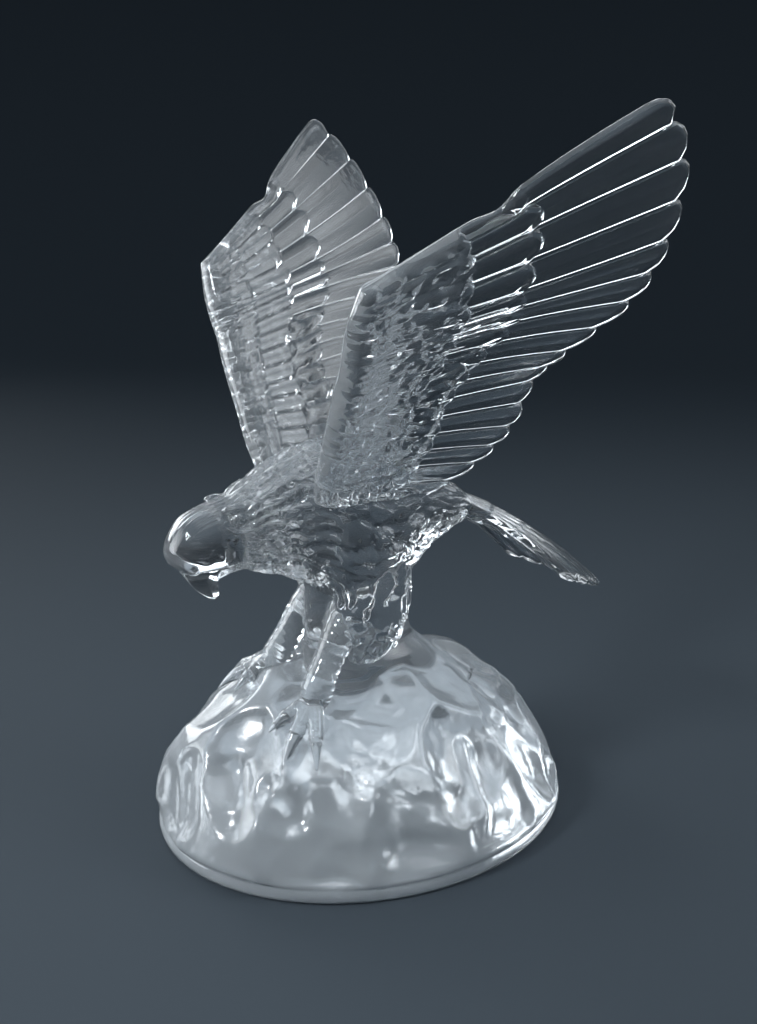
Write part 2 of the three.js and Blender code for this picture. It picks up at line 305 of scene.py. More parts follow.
def rock_top(x, y):
    """The plain mound's height over a place."""
    u, v = (x - ROCK_SHIFT[0]) / ROCK_HALF[0], (y - ROCK_SHIFT[1]) / ROCK_HALF[1]
    return rock_profile(np.minimum(np.hypot(u, v), 1), np.arctan2(v, u))


# Large hollows, evenly spread, with raised edges where they meet. Heights count less than widths when a
# point's distance to a hollow is taken, so hollows stand taller than they are wide.
GOLDEN = math.pi * (3 - math.sqrt(5))
DENTS = 40
DENT_DEPTH = 4.6
DENT_RADIUS = 14
DENT_RISE = 1.6
DENT_EDGE = 0.12
HEIGHT_COUNTS = 0.7

# Small hollows between them
SMALL_DENTS = 170
SMALL_DEPTH = 0.5
SMALL_RADIUS = 7
SMALL_EDGE = 0.2

# Hollows seen in the photo, and one ridge, with its depth below zero: from a point to a point, radius, depth
HOLLOWS = [
    ((16, -20, 50), (25, -8, 48), 10, 4),
    ((-3, -64.5, 26), (3, -68, 15), 7.5, 3),
    ((10, -58, 29), (19, -59, 21), 7.5, 3),
    ((26, -50.5, 27.5), (30, -48.5, 24), 7.5, 2.8),
    ((36, -27, 33), (49, -1, 21), 6, 3),
    ((39.6, 9.1, 34.3), (53.2, 5.1, 13.2), 3, -1.3),
    ((33.5, 25.9, 33.9), (40.2, 37.7, 15.8), 9, 2.4),
    ((14.8, 32.9, 42.9), (19.3, 41.8, 33.7), 9, 2.2),
    ((33.3, 2.9, 41.6), (33.3, 2.9, 41.6), 4, 1.3),
    ((54.4, -7.4, 11.3), (50, -22, 11.5), 5, 1.2),
    ((44, 16, 30), (52, 22, 14), 6, 1.4),
    ((49, -22, 13), (53, -10, 12), 6, 1.7),
    ((38, -40, 14), (44, -32, 12), 6.5, 1.9),
    ((20, -57, 12), (29, -51, 11), 6, 1.8),
    ((53, 4, 12), (51, 15, 11), 5, 1.5),
    ((40, -20, 24), (34, -32, 22), 6, 1.6),
]


def dent_middles():
    n = np.arange(DENTS)
    share = np.sqrt((n + 0.5) / DENTS) * 1.02 + 0.03 * np.sin(5.1 * n)
    middles = rock_point(np.minimum(share, 0.995), n * GOLDEN + 0.25 * np.sin(3.3 * n))
    return middles * (1, 1, HEIGHT_COUNTS)


def small_middles():
    n = np.arange(SMALL_DENTS)
    share = np.sqrt((n + 0.5) / SMALL_DENTS) * 1.01 + 0.02 * np.sin(2.9 * n)
    return rock_point(np.minimum(share, 0.998), n * GOLDEN + 1 + 0.5 * np.sin(4.7 * n))


def cells(points, middles, radius, width):
    """How far each point is from its hollow's middle, 0 at the middle and 1 at the radius or beyond."""
    gaps = np.linalg.norm(points[..., None, :] - middles, axis=-1)
    low = gaps.min(-1)
    soft = low - width * np.log(np.exp(-(gaps - low[..., None]) / width).sum(-1))
    return np.clip(soft / radius, 0, 1)


def hollow_gap(points, start, end, radius):
    """Distance from the line between two points, as a share of the radius."""
    start, end = np.array(start, float), np.array(end, float)
    line = end - start
    t = np.clip((points - start) @ line / max(line @ line, 1e-9), 0, 1)
    return np.linalg.norm(points - start - t[..., None] * line, axis=-1) / radius


def dent_depth(points):
    """How far the rock's skin is sunk at each point, for all hollows together."""
    away = cells(points * (1, 1, HEIGHT_COUNTS), dent_middles(), DENT_RADIUS, DENT_EDGE)
    depth = DENT_DEPTH * (1 - away**2.4) - DENT_RISE
    away = cells(points, small_middles(), SMALL_RADIUS, SMALL_EDGE)
    patchy = 0.55 + 0.45 * np.sin(points[..., 0] * 0.21 + points[..., 1] * 0.17)
    depth += SMALL_DEPTH * (0.45 - away**2) * patchy
    for start, end, radius, deep in HOLLOWS:
        gap = hollow_gap(points, start, end, radius)
        depth += deep * np.maximum(1 - gap**2, 0) ** 0.9
    return depth * smooth(ROCK_RIM - 1, ROCK_RIM + 2.5, points[..., 2])


# The rings crowd towards the rim, and the last one is this share of the way to the top.
RINGS_CROWD = 1.5
LAST_RING = 0.97

# The mould's seam line down the front
SEAM_ANGLE = math.radians(-47.5)
SEAM_DEPTH = 0.25
SEAM_NARROWNESS = 60

# Rim: rounded below, a little bulged, with a shallow groove where the mound starts. Height, inset
RIM = [(0, 1.5), (0.15, 0.75), (0.55, 0.2), (1.2, 0), (2.3, -0.25), (3.4, 0), (4.1, 0.35), (4.6, 0.6)]


def rock():
    rings, around = FINENESS["rock"]
    shares = 1 - np.linspace(0, 1, rings) ** RINGS_CROWD * LAST_RING
    angle = np.linspace(0, 2 * np.pi, around, endpoint=False)
    skin = rock_point(shares[:, None], angle[None, :])
    middle = np.array([ROCK_SHIFT[0], ROCK_SHIFT[1], 0])
    out = skin - middle
    out /= np.linalg.norm(out, axis=-1, keepdims=True)
    sunk = dent_depth(skin)
    off = np.mod(angle - SEAM_ANGLE + np.pi, 2 * np.pi) - np.pi
    sunk -= SEAM_DEPTH * np.exp(-((off * SEAM_NARROWNESS) ** 2)) * smooth(0.6, 0.75, shares)[:, None]
    skin = skin - out * sunk[..., None]
    rim = []
    for height, inset in RIM:
        ring = rock_point(np.ones(around), angle)
        ring[:, :2] = ROCK_SHIFT + (ring[:, :2] - ROCK_SHIFT) * (1 - inset / ROCK_HALF.mean())
        ring[:, 2] = height
        rim.append(ring)
    return closed("rock", np.concatenate([np.array(rim), skin]), finish=SATIN)


# Wings

# Side view, as (y, z): the start, middle and tip of the feathers, from the leading edge to the wing's root
ROOTS = [
    (-34, 175), (-35, 168), (-35, 161), (-34, 153), (-34, 145), (-33.5, 137), (-33, 129), (-32.5, 121),
    (-31, 112.5),
]
MIDS = [
    (-5, 195.5), (2, 187), (5, 171.5), (4, 163), (-1, 152), (-4, 141.5), (-3.5, 131), (-6, 120.5),
    (-10, 111),
]
TIPS = [
    (25.5, 219.5), (38, 205.5), (45, 185.5), (44, 169), (32, 155), (25.5, 146), (26, 131), (20, 119),
    (8, 109.5),
]

# How far out the wing stands: at its root, with height, and its cup and sweep
WING_ROOT_OUT = 19.3
WING_ROOT_HEIGHT = 115
WING_SLOPE = 0.644
WING_CUP = 0.00079
WING_SWEEP = 0.0029

# Rows of feathers end at these shares of the wing's depth. The inner face has one more.
GREATER = 0.56
MEDIAN = 0.36
INNER = 0.17
LOBE = 3
EDGE_ROUND = 2.2


def wing_out(y, z):
    """How far from the median plane the wing's middle lies."""
    up = z - WING_ROOT_HEIGHT
    return WING_ROOT_OUT + WING_SLOPE * up - WING_CUP * up * up + WING_SWEEP * y * up


def wing_plan(s, r):
    """A point of the wing in side view: s from the leading edge to the root, r along a feather."""
    root, mid, tip = (through(guide, s) for guide in (ROOTS, MIDS, TIPS))
    r = r[..., None]
    return root * (1 - r) * (1 - 2 * r) + mid * 4 * r * (1 - r) + tip * r * (2 * r - 1)


def tip_lobe(f):
    """The rounded end of a feather, 0 at its sides and 1 at its middle."""
    return np.maximum(1 - (2 * f**0.65 - 1) ** 2, 0) ** 0.55


STEP = 0.022


def vane(f):
    """A feather's overlap: a quick rise at its front edge, then an even fall."""
    rise = mix(-1, 1, smooth(0, STEP, f))
    fall = mix(1, -1, np.maximum((f - STEP) / (1 - STEP), 0) ** 1.2)
    return np.where(f < STEP, rise, fall)


def rounded(gap, radius):
    """A share of the thickness that makes an edge round."""
    return np.sqrt(1 - (1 - np.clip(gap / radius, 0.004, 1)) ** 2)


# Columns of points across a feather, close at its step and its shaft, and rows on both sides of a step
FEATHER_COLUMNS = np.array([0, 0.011, 0.022, 0.04, 0.2, 0.375, 0.41, 0.445, 0.68, 0.96, 0.978, 0.989])
STEP_ROWS = np.array([-0.012, -0.003, 0.003, 0.012])

# The hand's longer coverts lie before this share of the wing, the arm's scales behind it.
ROOTWARD = 0.46

# The leading edge: its bow and notch, and how much the first feather's tip is rounded
LEAD_BOW = 1.1
NOTCH = 2
NOTCH_AT = 0.5
NOTCH_WIDTH = 0.055
TIP_ROUND = 3

# Lobes of the two outer rows of coverts: where, how deep, how wide
GREATER_LOBES = (GREATER, 0.07, 0.12)
MEDIAN_LOBES = (MEDIAN, 0.05, 0.1)

# Relief in millimetres: overlap, bulge and shaft of the flights and of the hand's coverts, then the scales
FLIGHT_RELIEF = (0.14, 0.16, 0.12)
FINGER_RELIEF = (0.2, 0.4, 0.15)
FINGER_RAISED = 0.8
FINGER_GROOVE = 0.1
SHAFT_AT = 0.41
SCALE_RAISED = 0.7
SCALE_RELIEF = 2.6
INNER_SCALE_RAISED = 1.3
INNER_SCALE_RELIEF = 1.4
SCALES_PER_FEATHER = 1.7
SCALE_ROWS = 3.6
RELIEF_SHARE = 0.85
CUP = 0.55


def wing_grid():
    """Places across the feathers and rows along them."""
    at = (np.arange(FEATHERS)[:, None] + FEATHER_COLUMNS[None, :]).ravel()
    at[: len(FEATHER_COLUMNS)] = FEATHER_COLUMNS**1.4
    at = np.concatenate([at, [FEATHERS - 0.012, FEATHERS - 0.001]])
    rows = np.concatenate([
        [0, 0.002, 0.007, 0.015], np.linspace(0.027, MEDIAN - 0.022, 32), MEDIAN + STEP_ROWS,
        np.linspace(MEDIAN + 0.028, GREATER - 0.025, 8), GREATER + STEP_ROWS,
        np.linspace(GREATER + 0.04, 0.93, 8), [0.953, 0.97, 0.982, 0.991, 0.997, 1],
    ])
    return at, rows


def lobed(r, row, lobes, part, feather, salt, hand):
    """Draws a row's ends out at the middle of each feather, a little unevenly."""
    place, depth, width = lobes
    lobe = np.sqrt(np.maximum(1 - (2 * part - 1) ** 2, 0))
    uneven = 0.4 * (chance(feather, salt) - 0.5)
    depth = depth * mix(0.55, 1, hand)
    return r + depth * (lobe - 0.5 + uneven * lobe) * np.maximum(1 - np.abs(row - place) / width, 0)


def wing_edge(plan, from_lead, from_arm):
    """A share of the thickness that rounds the wing's four edges."""
    from_tips = np.linalg.norm(plan - plan[:, -1:], axis=-1)
    from_last = np.linalg.norm(plan - plan[-1:], axis=-1)
    return np.minimum.reduce([
        rounded(from_lead, EDGE_ROUND),
        rounded(from_arm, EDGE_ROUND * 1.7),
        rounded(from_tips, EDGE_ROUND * 0.8),
        rounded(from_last, EDGE_ROUND),
    ])


def wing_normal(y, z):
    """Unit normals of the wing's middle, pointing out."""
    slope_y = wing_out(y + 0.5, z) - wing_out(y - 0.5, z)
    slope_z = wing_out(y, z + 0.5) - wing_out(y, z - 0.5)
    normal = np.stack([np.ones_like(slope_y), -slope_y, -slope_z], -1)
    return normal / np.linalg.norm(normal, axis=-1, keepdims=True)


def wing(side):
    at, rows = wing_grid()
    s, row = np.meshgrid(at / FEATHERS, rows, indexing="ij")
    # Places on a flight feather and, half a feather on, on a median covert
    on = s * FEATHERS
    f = on - np.floor(on)
    f2 = np.mod(on + 0.5, 1)

    length = np.linalg.norm(wing_plan(s, np.ones_like(s)) - wing_plan(s, np.zeros_like(s)), axis=-1)
    hand = 1 - smooth(ROOTWARD - 0.06, ROOTWARD + 0.04, s)
    trim = TIP_ROUND * np.maximum(1 - on, 0) ** 3
    r = row * (1 + (LOBE * tip_lobe(f) - trim) / length * smooth(0.6, 1, row))
    r = lobed(r, row, GREATER_LOBES, f, np.floor(on), 1, hand)
    r = lobed(r, row, MEDIAN_LOBES, f2, np.floor(on + 0.5), 2, hand)

    plan = wing_plan(s, r)
    bow = LEAD_BOW * np.sin(np.pi * np.clip((r - 0.45) / 0.6, 0, 1))
    bow = bow - NOTCH * ridge(r, NOTCH_AT, NOTCH_WIDTH)
    bow = bow[..., None] * np.array([-0.6, 0.8])
    plan = plan + bow * (1 - smooth(0, 0.1, s))[..., None]
    lead = wing_plan(np.zeros_like(s), r) + bow
    y, z = plan[..., 0], plan[..., 1]
    from_lead = np.linalg.norm(plan - lead, axis=-1)
    from_arm = np.linalg.norm(plan - wing_plan(s, np.zeros_like(s)), axis=-1)

    # Half the thickness, with a bead along the leading edge and the arm
    arm = mix(2.6, 4.2, smooth(0, 0.3, s))
    half = mix(arm, mix(1.15, 1.5, s), smooth(0, 0.9, row**0.6))
    half = half + 0.7 * ridge(from_lead, 1.9, 1.3) * smooth(1, 0.9, row) + 0.5 * ridge(from_arm, 2.6, 1.8)

    # Where each kind of feather lies, and the small ones' own pattern
    flight = smooth(GREATER - 0.003, GREATER + 0.003, row)
    small = 1 - smooth(MEDIAN - 0.003, MEDIAN + 0.003, row)
    fingers = (1 - flight) * (1 - small)
    deep = r * length
    shown = smooth(2.5, 5.5, np.minimum(from_arm, from_lead + 2))
    coverts = smooth(INNER - 0.006, INNER + 0.006, r) * small
    scales = lappets(on * SCALES_PER_FEATHER, SCALE_ROWS * (r / MEDIAN) ** 0.8, reach=1.6, flat=2)
    longer = lappets(on, 4 + 1.6 * (r - MEDIAN) / (GREATER - MEDIAN), reach=1.6, flat=2)

    base = np.stack([wing_out(y, z), y, z], -1)
    normal = wing_normal(y, z)
    edge = wing_edge(plan, from_lead, from_arm)
    faces = []
    for turn in (1, -1):
        part = f if turn > 0 else 1 - f
        groove = ridge(f, 0, 0.04) + ridge(f, 1, 0.04)
        bulge = 1 - np.abs(2 * f - 1) ** 2.5
        step, rise, shaft = FLIGHT_RELIEF
        relief = flight * (step * vane(part) + rise * bulge + shaft * ridge(part, SHAFT_AT, 0.025))
        step, rise, shaft = FINGER_RELIEF
        finger = FINGER_RAISED + step * vane(part) + rise * bulge - FINGER_GROOVE * groove
        finger = finger + shaft * ridge(part, SHAFT_AT, 0.03)
        relief += fingers * mix(0.6 + 1.7 * longer, finger, hand)
        if turn > 0:
            relief += small * (SCALE_RAISED + SCALE_RELIEF * scales * shown)
        else:
            part2 = 1 - f2
            bulge2 = 1 - np.abs(2 * f2 - 1) ** 2.5
            groove2 = ridge(f2, 0, 0.05) + ridge(f2, 1, 0.05)
            feathers = 0.7 * (MEDIAN - r) / MEDIAN + 0.4 * vane(part2) + 0.45 * bulge2 - 0.35 * groove2
            inner = INNER_SCALE_RAISED + INNER_SCALE_RELIEF * scales * shown
            relief += coverts * (1.0 + feathers) + (small - coverts) * inner
        relief = relief * (0.25 + 0.75 * smooth(0.5, 5, from_lead)) - 0.5 * (1 - smooth(0, 1, row))
        cup = CUP * (4 * f * (1 - f)) * smooth(0.55, 1, row)
        out = turn * (half + relief * smooth(0, 2.5, deep) * RELIEF_SHARE) * edge + cup
        faces.append(figure((base + normal * out[..., None]) * (side, 1, 1)))
    rings = np.concatenate([faces[0], faces[1][:, ::-1]], axis=1)
    scaly = np.where(rows < MEDIAN - 0.01, FEATHERED, POLISHED)
    return closed("wing", rings, strip=True, finish=np.concatenate([scaly, scaly[::-1]]))


# Trunk, head and beak

EYE = (8.3, -50.4, 108.3)
EYE_RING = 3.2
NECK = (-50, -20)

# (y, z) of the top, (y, z) of the bottom, half width, from the rump to the face
TRUNK = [
    (35, 100.5, 34, 95.5, 4), (30, 104, 28, 93, 8), (18, 111.5, 14.5, 87.5, 12),
    (6, 118, 4, 79.5, 16.5), (-8, 122.5, -8, 72, 19.5), (-20, 124.5, -18, 76, 19.5),
    (-30, 121.5, -26, 83.5, 17), (-40, 117, -35, 87.5, 13.5), (-50, 112.5, -46, 91, 11),
    (-58, 110.5, -51.5, 92, 10), (-64, 107.8, -56, 92, 9.6), (-68, 103, -60, 92, 8.4),
    (-69.6, 98.5, -62.5, 91.5, 6.6), (-69, 95.5, -65, 92.8, 3.5),
]
TRUNK_SCALES = 25
TRUNK_PITCH = 10
TRUNK_RELIEF = 3.6
CROWN_LINES = 36
CROWN_RELIEF = 0.16

# The same for the beak, from the face to the hook
BEAK = [
    (-68.6, 98.5, -53.5, 92.5, 6.4), (-66.8, 94, -54.3, 90, 5.4), (-63.8, 89.3, -54.3, 87.3, 4.2),
    (-61.6, 86.4, -54.1, 85, 3), (-59, 84, -54.2, 83.2, 1.8), (-56.8, 82.4, -55, 82.2, 0.5),
]


def ovals(stations, t, around, square):
    """Rings of squarish ovals through the stations."""
    top_y, top_z, low_y, low_z, half = (v[:, None] for v in through(stations, t).T)
    angle = np.linspace(0, 2 * np.pi, around, endpoint=False)[None, :]
    c, s = np.cos(angle), np.sin(angle)
    across = half * np.sign(c) * np.abs(c) ** (2 / square)
    share = 0.5 + 0.5 * np.sign(s) * np.abs(s) ** (2 / square)
    return figure(np.stack([across, mix(low_y, top_y, share), mix(low_z, top_z, share)], -1)), angle


def trunk():
    rings, around = FINENESS["trunk"]
    grid, angle = ovals(TRUNK, np.linspace(0, 1, rings), around, 2.2)
    n = outward(grid, normals(grid))
    y = grid[..., 1]
    steps = np.linalg.norm(np.diff(grid, axis=0), axis=-1).mean(1)
    # Distance along the body from the face, and round it
    back = (steps.sum() - np.concatenate([[0], np.cumsum(steps)]))[:, None]
    round_it = np.linalg.norm(grid - np.roll(grid, 1, 1), axis=-1).sum(1, keepdims=True)
    wave = 0.22 * np.sin(back * 0.5 + 4 * angle) + 0.18 * np.sin(back * 0.23 - 7 * angle)
    columns = angle / (2 * np.pi) * TRUNK_SCALES + 0.5 * wave
    scales = lappets(columns, back / TRUNK_PITCH + 0.7 * wave, uneven=0.35, ramp=0.4, flat=3)
    from_eye = np.linalg.norm(np.abs(grid - (0, EYE[1], EYE[2])) - (EYE[0], 0, 0), axis=-1)
    fade = smooth(-51, -47, y) * smooth(36, 30, y) * smooth(3, 5, from_eye)
    amount = TRUNK_RELIEF * fade * np.clip(round_it / 90, 0.5, 1)
    crown = CROWN_RELIEF * np.cos(CROWN_LINES * angle) * smooth(0.6, 0.85, np.sin(angle))
    crown = crown * smooth(-67, -62, y) * (1 - fade)
    skin = grid + n * (amount * (scales - 0.5) + crown - 0.7 * ridge(from_eye, EYE_RING, 0.9))[..., None]
    neck = (y[:-1] > NECK[0]) & (y[:-1] < NECK[1])
    return closed("trunk", skin, finish=np.where(neck, FEATHERED, POLISHED))


def beak():
    rings, around = FINENESS["beak"]
    t = np.linspace(0, 1, rings)
    grid, angle = ovals(BEAK, t, around, 2)
    n = outward(grid, normals(grid))
    share = 0.5 + 0.5 * np.sin(angle)
    t = t[:, None]
    # The line of the mouth
    gape = ridge(share, 0.34 - 0.1 * t, 0.06) * smooth(0.16, 0.3, t) * smooth(0.95, 0.85, t)
    return closed("beak", grid - n * (0.6 * gape)[..., None])


# Lower jaw: (x, y, z, radius across, radius fore and aft)
JAW = [(0, -46, 94, 5, 4), (0, -52, 92.3, 4.6, 3), (0, -56.5, 89.8, 3.4, 2.2), (0, -59.5, 88, 1.6, 1)]


def jaw():
    rings, around = FINENESS["jaw"]
    grid, _ = limb(JAW, np.linspace(0, 1, rings), around)
    return closed("jaw", grid)


# Limbs, as for the jaw, from the top down
THIGH = [
    (9, -8, 92, 8, 14), (11.5, -8.5, 80, 9.5, 12.6), (12.6, -9, 70, 9, 10.6), (13, -10.5, 62, 7, 7.6),
    (13.2, -13, 57.5, 2.5, 3),
]
COLUMN = [
    (0, -7, 90, 10, 17), (0, -7, 76, 10, 18), (0, -7, 66, 10, 18.2), (0, -6.5, 60, 11, 19),
    (0, -4, 55, 14, 21.5), (0, 0, 49, 16, 24.5), (0, 3, 42, 23, 32),
]
SHANK = [
    (10, -13, 76, 6.5, 6), (11.5, -19.5, 68.5, 5.4, 5), (12.8, -25, 60, 4.4, 4.2),
    (14, -29.5, 52, 4.6, 4.6), (14.5, -31, 47, 3.6, 3.6),
]
THIGH_SCALES = 12
THIGH_PITCH = 7
THIGH_RELIEF = 2.2
SHANK_SCUTES = 14
SCUTE_RELIEF = 0.9


def limb(stations, t, around, side=1, level=False):
    """Rings round a line through the stations, square to it or, if level, flat."""
    where = through(stations, t)
    line = np.gradient(where[:, :3], axis=0)
    line /= np.linalg.norm(line, axis=1, keepdims=True)
    u = np.tile([1.0, 0, 0], (len(t), 1))
    v = np.tile([0, 1.0, 0], (len(t), 1))
    if not level:
        u -= line * (u * line).sum(1, keepdims=True)
        u /= np.linalg.norm(u, axis=1, keepdims=True)
        v = np.cross(line, u)
    angle = np.linspace(0, 2 * np.pi, around, endpoint=False)
    c, s = np.cos(angle)[None, :, None], np.sin(angle)[None, :, None]
    grid = where[:, None, :3] + u[:, None] * where[:, None, 3:4] * c + v[:, None] * where[:, None, 4:5] * s
    return figure(grid * (side, 1, 1)), angle[None, :]


def thigh(side):
    rings, around = FINENESS["thigh"]
    t = np.linspace(0, 1, rings)
    grid, angle = limb(THIGH, t, around, side, level=True)
    n = outward(grid, normals(grid))
    steps = np.linalg.norm(np.diff(grid, axis=0), axis=-1).mean(1)
    down = np.concatenate([[0], np.cumsum(steps)])[:, None]
    wave = 0.25 * np.sin(down * 0.5 + 2 * angle)
    columns = angle / (2 * np.pi) * THIGH_SCALES
    scales = lappets(columns, down / THIGH_PITCH + wave, uneven=0.35, ramp=0.5, flat=2)
    skin = grid + n * (THIGH_RELIEF * (scales - 0.5) * smooth(1, 0.93, t)[:, None])[..., None]
    return closed("thigh", skin)


def shank(side):
    rings, around = FINENESS["shank"]
    t = np.linspace(0, 1, rings)
    grid, angle = limb(SHANK, t, around, side)
    n = outward(grid, normals(grid))
    scutes = SCUTE_RELIEF * np.abs(np.sin(np.pi * t * SHANK_SCUTES))[:, None]
    front = smooth(0.3, -0.3, np.sin(angle) * np.ones_like(scutes))
    return closed("shank", grid + n * (scutes * (0.3 + 0.7 * front))[..., None], finish=FEATHERED)


# The column is feathered before this y, and satin like the rock behind the next one and below this z.
COLUMN_FRONT = -14
COLUMN_BACK = 4
COLUMN_FOOT = 60


def column():
    rings, around = FINENESS["column"]
    grid, _ = limb(COLUMN, np.linspace(0, 1, rings), around, level=True)
    y, z = grid[:-1, :, 1], grid[:-1, :, 2]
    foot = (y > COLUMN_BACK) & (z < COLUMN_FOOT)
    finish = np.where(y < COLUMN_FRONT, FEATHERED, np.where(foot, SATIN, POLISHED))
    return closed("column", grid, finish=finish)


# Toes: turn outwards in degrees, length, the hind toe last
TOES = [(-8, 15), (28, 18), (62, 17), (-160, 9)]
FOOT = (14.3, -30)
TOE_RADIUS = 3
TOE_SINK = 1.3
CLAW_FROM = 0.72
TOE_SCUTE = 1.7
TOE_SCUTE_RELIEF = 0.28


def toe(turn, length, side):
    """A toe that lies on the rock and thins to its claw."""
    share = np.linspace(0, 1, 7)
    turn = math.radians(turn)
    x, y = FOOT[0] + length * share * math.sin(turn), FOOT[1] - length * share * math.cos(turn)
    z = rock_top(x * side, y) - TOE_SINK + TOE_RADIUS * mix(1.0, 0.3, share)
    thick = TOE_RADIUS * np.interp(share, (0, 0.6, CLAW_FROM, 1), (0.9, 0.72, 0.6, 0.1))
    z += TOE_RADIUS * 0.25 * ridge(share, 0.75, 0.15)
    stations = np.stack([x, y, z, thick, thick], -1)
    rings, around = FINENESS["toe"]
    t = np.linspace(0, 1, rings)
    grid, _ = limb(stations, t, around, side)
    n = outward(grid, normals(grid))
    scutes = TOE_SCUTE_RELIEF * np.abs(np.sin(np.pi * t * length / TOE_SCUTE)) * smooth(0.74, 0.66, t)
    return closed("toe", grid + n * scutes[:, None, None], finish=FEATHERED)


# Tail: its root is y, z and half width, its steps are the ends of the rows of coverts
TAIL_LENGTH = 66.5
TAIL_FAN = 14
TAIL_ROOT = (26, 101.7, 7)
TAIL_SLOPE = 0.36
TAIL_DROOP = 0.0042
TAIL_ARCH = 0.038
TAIL_HALF = 1.7
TAIL_STEPS = (0.24, 0.46)
TAIL_STEP_RELIEF = (0.55, 0.45)
OUTER_SHORTER = 0.42
TAIL_LOBE = 2.2
TAIL_STEP_LOBE = 0.04
TAIL_STEP_WIDTH = 0.1
TAIL_COLUMNS = np.array([0, 0.04, 0.09, 0.2, 0.33, 0.42, 0.47, 0.52, 0.65, 0.82])


def tail():
    at = (np.arange(TAIL_FEATHERS)[:, None] + TAIL_COLUMNS[None, :]).ravel()
    at = np.concatenate([at, [TAIL_FEATHERS]])
    at = np.sort(np.concatenate([at, [0.015, TAIL_FEATHERS - 0.015]]))
    rows = np.concatenate([
        np.linspace(0, 0.2, 8), TAIL_STEPS[0] + STEP_ROWS, np.linspace(0.28, 0.42, 5),
        TAIL_STEPS[1] + STEP_ROWS, np.linspace(0.5, 0.94, 12), [0.96, 0.975, 0.987, 0.995, 1],
    ])
    s = np.broadcast_to((2 * at / TAIL_FEATHERS - 1)[:, None], (len(at), len(rows)))
    near = np.where(at < TAIL_FEATHERS / 2, at - np.floor(at), np.ceil(at) - at)[:, None]
    f = np.broadcast_to(near, s.shape)
    row = np.broadcast_to(rows[None, :], s.shape)
    full = TAIL_LENGTH * (1 - OUTER_SHORTER * np.abs(s) ** 1.5) + TAIL_LOBE * (tip_lobe(1 - f) - 0.5)
    turn = np.radians(TAIL_FAN * s)
    lobe = np.sqrt(np.maximum(1 - (2 * f - 1) ** 2, 0))
    part = row
    for place in TAIL_STEPS:
        near_step = np.maximum(1 - np.abs(row - place) / TAIL_STEP_WIDTH, 0)
        part = part + TAIL_STEP_LOBE * (lobe - 0.5) * near_step
    x = TAIL_ROOT[2] * s + np.sin(turn) * full * part
    y = TAIL_ROOT[0] + np.cos(turn) * full * part
    run = y - TAIL_ROOT[0]
    z = TAIL_ROOT[1] - TAIL_SLOPE * run - TAIL_DROOP * run**2 - TAIL_ARCH * x**2
    from_side = (1 - np.abs(s)) * (TAIL_ROOT[2] + 12 * part)
    edge = np.minimum(rounded(from_side, 1.6), rounded((1 - row) * full, 1.8))
    faces = []
    for up in (1, -1):
        relief = 0.2 * vane(f) + 0.15 * ridge(f, 0.47, 0.06) - 0.2 * ridge(f, 0, 0.05)
        for place, raised in zip(TAIL_STEPS, TAIL_STEP_RELIEF):
            relief = relief + raised * (1 - smooth(place - 0.005, place + 0.005, row))
        half = (TAIL_HALF * mix(1.2, 0.8, row) + relief * 0.8) * edge
        tilted = [x + up * half * 1.4 * TAIL_ARCH * x, y + up * half * 0.45, z + up * half * 0.85]
        faces.append(figure(np.stack(tilted, -1)))
    return closed("tail", np.concatenate([faces[0], faces[1][:, ::-1]], axis=1), strip=True)


# Eyes and brows

EYE_RADIUS = 1.9
BROW_SHIFT = (-1.8, -0.4, 2.2)
BROW_RADIUS = 3.2
BROW_STRETCH = (0.8, 1.2, 0.45)


def ball(at, radius, stretch=(1, 1, 1)):
    rings, around = FINENESS["ball"]
    tilt = np.linspace(0.02, np.pi - 0.02, rings)[:, None]
    turn = np.linspace(0, 2 * np.pi, around, endpoint=False)[None, :]
    ring = np.stack([np.sin(tilt) * np.cos(turn), np.sin(tilt) * np.sin(turn), np.cos(tilt) + 0 * turn], -1)
    return closed("ball", figure(np.array(at) + ring * radius * np.array(stretch)))


def side_parts(side):
    parts = [wing(side), thigh(side), shank(side)]
    parts += [toe(turn, length, side) for turn, length in TOES]
    parts.append(ball((EYE[0] * side, EYE[1], EYE[2]), EYE_RADIUS))
    brow = ((EYE[0] + BROW_SHIFT[0]) * side, EYE[1] + BROW_SHIFT[1], EYE[2] + BROW_SHIFT[2])
    parts.append(ball(brow, BROW_RADIUS, BROW_STRETCH))
    return parts


# Joining


def keep_outer_skin(mesh):
    """Drops the specks and bubbles that a union leaves where two surfaces all but meet."""
    work = bmesh.new()
    work.from_mesh(mesh)
    outer = set()
    seen = set()
    for start in work.verts:
        if start in seen:
            continue
        skin = {start}
        todo = [start]
        while todo:
            for edge in todo.pop().link_edges:
                for vert in edge.verts:
                    if vert not in skin:
                        skin.add(vert)
                        todo.append(vert)
        seen |= skin
        outer = max(outer, skin, key=len)
    bmesh.ops.delete(work, geom=[vert for vert in work.verts if vert not in outer], context="VERTS")
    work.to_mesh(mesh)
    work.free()


def joined(parts):
    """All parts as one closed mesh."""
    base = parts[0]
    for part in parts[1:]:
        join = base.modifiers.new("join", "BOOLEAN")
        join.operation = "UNION"
        join.solver = "MANIFOLD"
        join.object = part
    graph = bpy.context.evaluated_depsgraph_get()
    mesh = bpy.data.meshes.new_from_object(base.evaluated_get(graph))
    keep_outer_skin(mesh)
    whole = bpy.data.objects.new("eagle_glass", mesh)
    mesh.name = "eagle_glass"
    bpy.context.scene.collection.objects.link(whole)
    for part in parts:
        bpy.data.objects.remove(part, do_unlink=True)
    return whole


# Points that the union added, further than this from all old ones, are on a seam.
SAME_PLACE = 0.002
SEAM_FILLET = 1.8
SEAM_PASSES = 14


